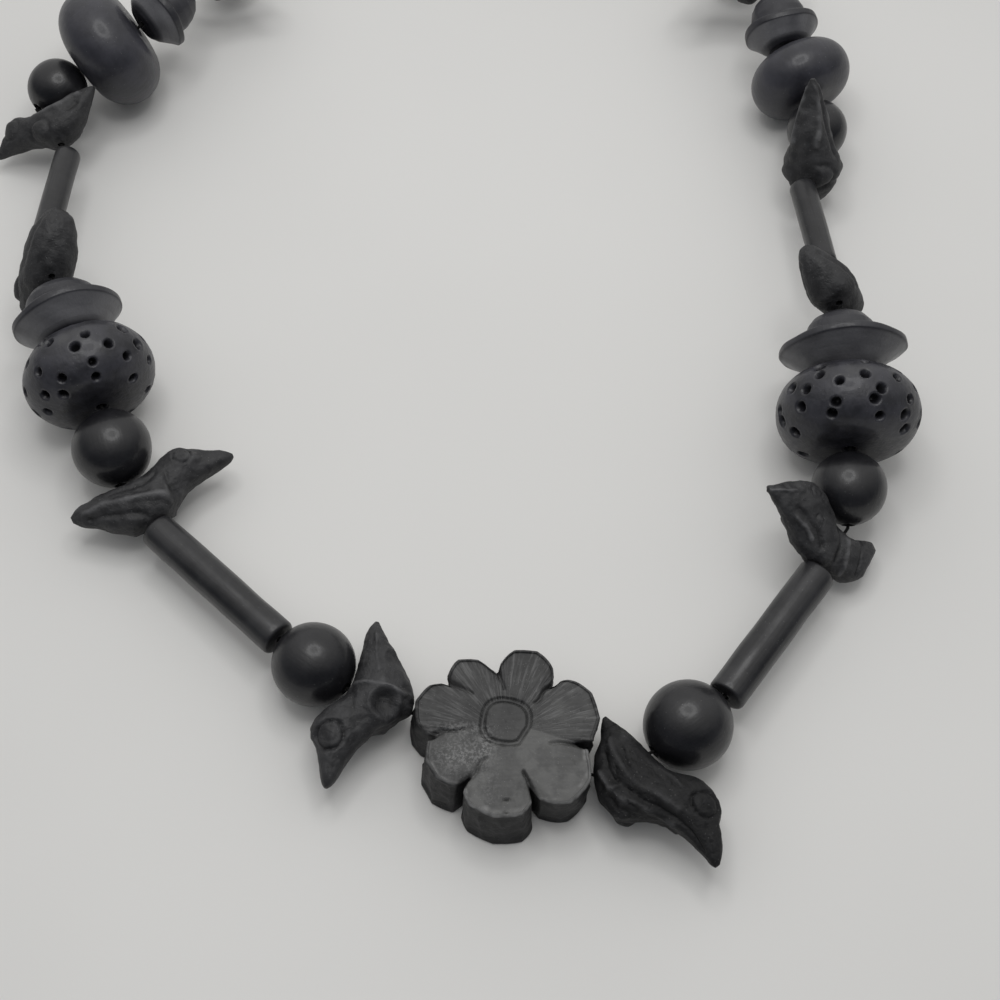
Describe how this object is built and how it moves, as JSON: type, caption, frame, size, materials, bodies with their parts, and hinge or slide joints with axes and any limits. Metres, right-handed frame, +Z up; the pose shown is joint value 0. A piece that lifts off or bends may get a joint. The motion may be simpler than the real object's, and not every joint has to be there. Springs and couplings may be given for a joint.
{
  "type": "beaded necklace",
  "caption": "Necklace of carved black beads on a thread: a flower in the middle, then birds, balls, tubes, pierced beads and hat-shaped beads, closed by a barrel clasp.",
  "frame": {"origin": "middle of the box that holds the necklace, on the table that it lies on", "axes": "+Z up from the table, +Y from the flower towards the clasp, +X to the right of the flower seen from above"},
  "size_m": [0.149, 0.2098, 0.0223],
  "materials": {
    "black_clay": "burnished, near black",
    "thread": "waxed"
  },
  "bodies": {
    "root": {"flower": "black_clay", "thread": "thread", "clasp": "black_clay", "bird_l1": "black_clay", "ball_l1": "black_clay", "long_tube_l": "black_clay", "bird_l2": "black_clay", "ball_l2": "black_clay", "pierced_bead_l": "black_clay", "hat_bead_l": "black_clay", "bird_l3": "black_clay", "thin_tube_l": "black_clay", "bird_l4": "black_clay", "ball_l3": "black_clay", "big_bead_l": "black_clay", "small_hat_l": "black_clay", "bird_l5": "black_clay", "bird_r1": "black_clay", "ball_r1": "black_clay", "long_tube_r": "black_clay", "bird_r2": "black_clay", "ball_r2": "black_clay", "pierced_bead_r": "black_clay", "hat_bead_r": "black_clay", "bird_r3": "black_clay", "thin_tube_r": "black_clay", "bird_r4": "black_clay", "ball_r3": "black_clay", "big_bead_r": "black_clay", "small_hat_r": "black_clay", "bird_r5": "black_clay", "back_ball_l1": "black_clay", "back_tube_l1": "black_clay", "back_ball_l2": "black_clay", "back_tube_l2": "black_clay", "back_ball_r1": "black_clay", "back_tube_r1": "black_clay", "back_ball_r2": "black_clay", "back_tube_r2": "black_clay"}
  },
  "joints": []
}
